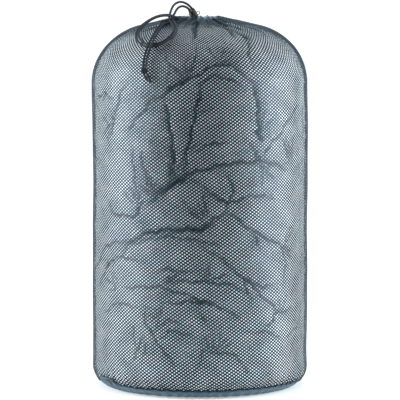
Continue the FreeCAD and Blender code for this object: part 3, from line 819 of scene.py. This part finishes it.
def filled_out(wall, normals, still):
    """How far outward each point of the quilt's wall goes when its filling presses on the cloth.

    A closed coarse copy of the wall is simulated as cloth with pressure inside. Where still is 1 it stays
    put. The copy is removed afterwards, and what it moved, in metres, is read off between its points.
    """
    up, around = still.shape
    rows = np.unique(np.append(np.arange(0, up, COARSE_ROWS), up - 1))
    columns = np.arange(0, around, COARSE_COLUMNS)
    coarse = wall[rows][:, columns]
    count = len(columns)
    ring = coarse[-1] * [0.5, 0.5, 1] - [0, 0, 0.02]
    bottom, top = [0, 0, coarse[0, 0, 2]], [0, 0, ring[0, 2] - 0.005]
    points = np.concatenate([coarse.reshape(-1, 3), ring, [bottom, top]])
    last = (len(rows) - 1) * count
    faces = [grid_faces(len(rows) + 1, count), fan(len(points) - 2, np.arange(count), True),
             fan(len(points) - 1, np.arange(count) + last + count)]
    piece = mesh_piece("quilt_filling_out", points, faces)
    weights = np.concatenate([np.clip(still[rows][:, columns] * 1.2, 0, 1).ravel(), np.ones(count + 2)])
    weights[:2 * count] = 1
    weights[last - count:last + count] = 1
    group = piece.vertex_groups.new(name="still")
    weights = np.round(weights, 1)
    for level in np.unique(weights[weights > 0]):
        group.add(np.nonzero(weights == level)[0].tolist(), float(level), "REPLACE")
    cloth = piece.modifiers.new("cloth", "CLOTH")
    settings = cloth.settings
    settings.quality = 4
    settings.mass = 0.3
    settings.air_damping = 2
    settings.tension_stiffness = settings.compression_stiffness = 12
    settings.shear_stiffness = 5
    settings.bending_stiffness = 0.5
    settings.use_pressure = True
    settings.uniform_pressure_force = 5
    settings.vertex_group_mass = "still"
    settings.effector_weights.gravity = 0
    cloth.point_cache.frame_start = 1
    cloth.point_cache.frame_end = SIM_FRAMES
    for frame_number in range(1, SIM_FRAMES + 1):
        scene.frame_set(frame_number)
    shaped = piece.evaluated_get(bpy.context.evaluated_depsgraph_get()).to_mesh()
    moved = np.zeros(len(points) * 3)
    shaped.vertices.foreach_get("co", moved)
    moved = moved.reshape(-1, 3)[:last + count].reshape(len(rows), count, 3)
    outward = ((moved - coarse) * normals[rows][:, columns]).sum(-1)
    bpy.data.objects.remove(piece)
    scene.frame_set(1)
    by_row = np.stack([np.interp(np.arange(up), rows, outward[:, k]) for k in range(count)], 1)
    closed = np.concatenate([by_row, by_row[:, :1]], 1)
    ends = np.append(columns, around)
    everywhere = np.stack([np.interp(np.arange(around), ends, row) for row in closed])
    return np.clip(everywhere, -0.001, 0.004)


def quilt_mesh():
    """The crumpled quilt against the net, finest in front, closed underneath and below the mouth."""
    front, rest = np.linspace(-75, 75, 197)[:-1], np.linspace(75, 285, 173)[:-1]
    turns = np.concatenate([front, rest]) * math.pi / 180
    around = len(turns)
    up = int(round(QUILT_TOP / QUILT_STEP))
    s, angle = np.meshgrid(np.linspace(0.002, QUILT_TOP, up), turns, indexing="ij")
    r, z, out, rise = meridian(s)
    lumps = 0.0008 * (1 + ripple(angle, s, 21, (6, 9, 13, 17), 0.09))
    depth, inside = fold_depth(angle, z)
    # under the deepest pleats the cloth counts as deep in a fold: held still, and darkened as painted shade
    inside = np.maximum(inside, smoothstep(0.0015, 0.0040, -pleats(angle, s)))
    away = body_waves(angle, s) + np.minimum(pleats(angle, s), 0) - QUILT_GAP - depth - lumps
    away = away - 0.003 * smoothstep(CROWN_END + 0.005, QUILT_TOP, s)
    loose = smoothstep(0.0, 0.03, s) * (1 - smoothstep(SHOULDER_END, CROWN_END + 0.01, s))
    start = away - BILLOW * loose
    wall = round_points(r + start * out, angle, z + start * rise)
    normals = round_points(out, angle, rise)
    away = np.minimum(away, start + filled_out(wall, normals, widened(inside, 2, 1)))
    rr, zz = r + away * out, z + away * rise
    underneath = [round_points(rr[0] * share, angle[0], np.full(around, QUILT_UNDERSIDE))
                  for share in (0.12, 0.35, 0.6, 0.85)]
    hollow = [round_points(rr[-1] * share, angle[0], zz[-1] - drop)
              for share, drop in ((0.85, 0.006), (0.66, 0.016), (0.45, 0.024), (0.2, 0.028))]
    wall = round_points(rr, angle, zz).reshape(-1, 3)
    points = np.concatenate([*underneath, wall, *hollow])
    count = len(points) // around
    bottom, top = len(points), len(points) + 1
    points = np.concatenate([points, [[0, 0, QUILT_UNDERSIDE]], [[0, 0, float(zz[-1].mean()) - 0.0285]]])
    faces = [grid_faces(count, around), fan(bottom, np.arange(around), True),
             fan(top, np.arange(around) + (count - 1) * around)]
    flat_u = np.tile(turns * WALL, count)
    flat_v = np.repeat(np.arange(count) * QUILT_STEP, around)
    uv = np.concatenate([np.stack([flat_u, flat_v], -1), [[0, 0], [0, flat_v[-1]]]])
    # painted shade in the folds, none underneath or in the hollow below the mouth
    shade = np.concatenate([np.zeros(around * 4), inside.ravel(), np.zeros(around * 4 + 2)])
    return mesh_piece("quilt_stuffed", points, faces, uv, floats={"fold": shade})


quilt = quilt_mesh()
dress(quilt, QUILT, SACK,
      [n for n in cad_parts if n.startswith(("quilt_", "down_chamber_")) or n == "baffle_walls"])

# ---------------------------------------------------------------- base
BASE_THICKNESS = 0.0012
FLAT_RADIUS = WALL - CORNER


def tuck(angle):
    """1 where the base's edge is folded up over the net, low on the left, and 0 elsewhere."""
    off = np.degrees(turn_from(angle, 0))
    return smoothstep(-77, -69, off) * (1 - smoothstep(-57, -49, off))


def slit(angle):
    """1 in the small gap in that fold."""
    off = np.degrees(turn_from(angle, 0))
    return np.exp(-((off + 59.5) / 1.3) ** 2)


def seam_turn(angle):
    """How far below the horizontal the base's upper edge is, round its corner."""
    return SEAM_TURN - 0.011 / CORNER * tuck(angle)


def base_piece():
    """The round base: flat in the middle and turned up at its edge to the seam, wrinkled there."""
    around, steps = 1440, 14
    angle = np.arange(around) / around * TURN
    rings, folded = [], []
    for k in range(steps):
        share = k / (steps - 1)
        turn = seam_turn(angle) * (1 - share) + math.pi / 2 * share
        middle = math.sin((k + 1) / steps * math.pi)
        wrinkle = 0.0009 * np.sin(64 * angle + 2.2 * np.sin(7 * angle)) * middle ** 0.7
        wrinkle = wrinkle + 0.00035 * np.sin(230 * angle + 5 * np.sin(11 * angle)) * middle
        out = CORNER + wrinkle + (0.0012 * tuck(angle) - 0.004 * slit(angle)) * (1 - share) ** 2
        z = CORNER - (CORNER + wrinkle * 0.6) * np.sin(turn)
        rings.append((WALL - CORNER + out * np.cos(turn), np.maximum(z, 0.0)))
        # painted shade on the edge folded up over the net, near the seam, and in the small gap in that fold
        over_net = tuck(angle) * (1 - smoothstep(0.15, 0.30, share))
        folded.append(np.maximum(over_net, slit(angle) * (share < 0.45)))
    for share in (0.93, 0.75, 0.5, 0.25, 0.06):
        rings.append((np.full(around, FLAT_RADIUS * share), np.zeros(around)))
        folded.append(np.zeros(around))
    outer = [round_points(r, angle, z) for r, z in rings]
    inner = [round_points(r - BASE_THICKNESS, angle, z + BASE_THICKNESS) for r, z in rings]
    rows = outer[::-1] + inner
    points = np.concatenate(rows)
    low, high = len(points), len(points) + 1
    points = np.concatenate([points, [[0, 0, 0]], [[0, 0, BASE_THICKNESS]]])
    faces = [grid_faces(len(rows), around), fan(low, np.arange(around), True),
             fan(high, np.arange(around) + (len(rows) - 1) * around)]
    shade = np.concatenate(folded[::-1] + folded + [[0, 0]])
    return mesh_piece("base_cloth_panel", points, faces, points[:, :2], floats={"folded": shade})


base = dress(base_piece(), BASE, SACK, ["base_panel"])

half_degrees = np.arange(720) / 720 * TURN


def ring_tube(name, r, z, width, waves, height):
    """A thin rolled edge round the sack, a little uneven. r and z have a value for each half degree."""
    angle, sides = half_degrees, 8
    around = np.arange(sides) / sides * TURN
    rise = height * np.sin(waves * 0.7 * angle + 1)
    line = round_points(r + height * np.sin(waves * angle), angle, z + rise)
    out = round_points(1, angle, np.zeros_like(angle))
    up = np.array([0, 0, 1.0])
    ring = out[:, None] * np.cos(around)[None, :, None] + up * np.sin(around)[None, :, None]
    points = line[:, None] + width / 2 * ring
    uv = np.stack([np.repeat(angle * r, sides), np.tile(around * width / 2, len(angle))], -1)
    return mesh_piece(name, points.reshape(-1, 3), ring_faces(len(angle), sides), uv)


edge_turn = seam_turn(half_degrees)
edge_out = CORNER + 0.0010 + 0.0010 * tuck(half_degrees)
seam_edge = ring_tube("base_seam_edge", WALL - CORNER + edge_out * np.cos(edge_turn),
                      CORNER - edge_out * np.sin(edge_turn) + 0.0003, 0.0015, 58, 0.0002)
dress(seam_edge, TAPE, SACK)

# ---------------------------------------------------------------- gathered hem
# the frame's angle from +X, and the quarter turn from the front to +X
CORD_EXIT = math.radians(250.2 + 90)


def hem_piece():
    """The tunnel round the mouth, pleated except near the cord's exit."""
    around, sides = 420, 28
    angle = np.arange(around)[:, None] / around * TURN
    tube = np.arange(sides)[None, :] / sides * TURN
    away = np.abs(turn_from(angle, CORD_EXIT))
    calm = smoothstep(math.radians(12), math.radians(34), away)
    wander = 1.1 * np.sin(3 * angle + 0.6) + 0.7 * np.sin(5 * angle + 2)
    fold = 1 - 2 * np.abs(np.sin(11 * angle + wander)) ** 0.8
    fine = np.sin(31 * angle + 2 * wander + 1.5 * np.sin(tube))
    big = 0.0052 + calm * (-0.0011 * fold + 0.0005 * fine)
    r = 0.0215 + big * np.cos(tube) + calm * 0.0006 * np.sin(7 * angle)
    z = 0.5100 + big * np.sin(tube) + calm * 0.0009 * np.sin(9 * angle + 1)
    points = round_points(r, angle, z).reshape(-1, 3)
    uv = np.stack([np.repeat(angle.ravel() * 0.15, sides), np.tile(tube.ravel() * 0.0055, around)], -1)
    return mesh_piece("gathered_hem", points, ring_faces(around, sides), uv)


dress(hem_piece(), HEM, SACK, ["hem_channel"])

# ---------------------------------------------------------------- CAD nodes that stay
for node, paint in (("base_seam_binding", TAPE), ("side_seam_tape", TAPE),
                    ("cord_exit_buttonhole", STITCH), ("drawcord_ring", TAPE)):
    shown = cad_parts[node]
    shown.data.materials.clear()
    shown.data.materials.append(paint)

# ---------------------------------------------------------------- floor and light
# painted light: the floor glows, softly towards the distance, but not in front of the sack
floor_corners = np.array([[-200, -60, 0], [200, -60, 0], [200, 400, 0], [-200, 400, 0]], float)
floor = mesh_piece("floor", floor_corners - [0, 0, 0.0002], np.array([[0, 1, 2, 3]]))
glowing = Nodes("glowing_floor")
glowing.surface.inputs["Emission Color"].default_value = (1, 1, 1, 1)
far = glowing.add("VectorMath", set_operation="LENGTH", Vector=glowing.place()).outputs["Value"]
depth = glowing.add("SeparateXYZ", Vector=glowing.place()).outputs["Y"]
glow = glowing.math("MULTIPLY", glowing.ramp(far, 0.3, 1.6, 0.30, 0.95), glowing.ramp(depth, -0.5, -0.2, 0.0, 1.0))
glowing.put(glowing.surface, "Emission Strength", glow)
grain = glowing.noise(3.0)
floor_colour = glowing.mix(grain, rgb(0.32, 0.32, 0.32), rgb(0.34, 0.34, 0.34))
floor.data.materials.append(glowing.finish(floor_colour, 0.9, glowing.bump(grain, 0.0001, 0.1)))


def lamp(name, place, aim, width, height, watts, colour):
    light = bpy.data.lights.new(name, "AREA")
    light.shape = "RECTANGLE"
    light.size, light.size_y = width, height
    light.energy = watts
    light.color = colour
    aimed(link(light, name), place, aim)


lamp("left_box", (-1.43, -0.20, 0.55), (0, 0, 0.28), 1.2, 1.3, 116, (0.89, 0.96, 1.0))
lamp("right_box", (1.42, -0.26, 0.50), (0, 0, 0.28), 1.0, 1.3, 113, (0.89, 0.96, 1.0))
lamp("low_fill", (0, -0.33, 0.004), (0, -0.12, 0.12), 0.5, 0.2, 1.7, (0.86, 0.97, 1.0))
lamp("top_box", (0, 0.2, 2.2), (0, 0.0, 0.3), 2.0, 2.0, 60, (0.90, 0.97, 1.0))

# the surround is dimmer from the front than from behind, and dimmer from below than from above
world = bpy.data.worlds.new("surround")
world.use_nodes = True
scene.world = world
sky = world.node_tree
parts = sky.nodes.new("ShaderNodeSeparateXYZ")
sky.links.new(sky.nodes.new("ShaderNodeTexCoord").outputs["Generated"], parts.inputs[0])
product = sky.nodes.new("ShaderNodeMath")
product.operation = "MULTIPLY"
for socket, axis, limits in ((0, "Y", (-0.90, 0.2, 0.18, 0.46)), (1, "Z", (-0.35, 0.05, 0.15, 1.0))):
    ramp = sky.nodes.new("ShaderNodeMapRange")
    ramp.interpolation_type = "SMOOTHSTEP"
    set_range(ramp, *limits)
    sky.links.new(parts.outputs[axis], ramp.inputs["Value"])
    sky.links.new(ramp.outputs["Result"], product.inputs[socket])
sky.links.new(product.outputs[0], sky.nodes["Background"].inputs["Strength"])
sky.nodes["Background"].inputs["Color"].default_value = (0.88, 0.97, 1.0, 1)
scene.view_settings.view_transform = "Standard"
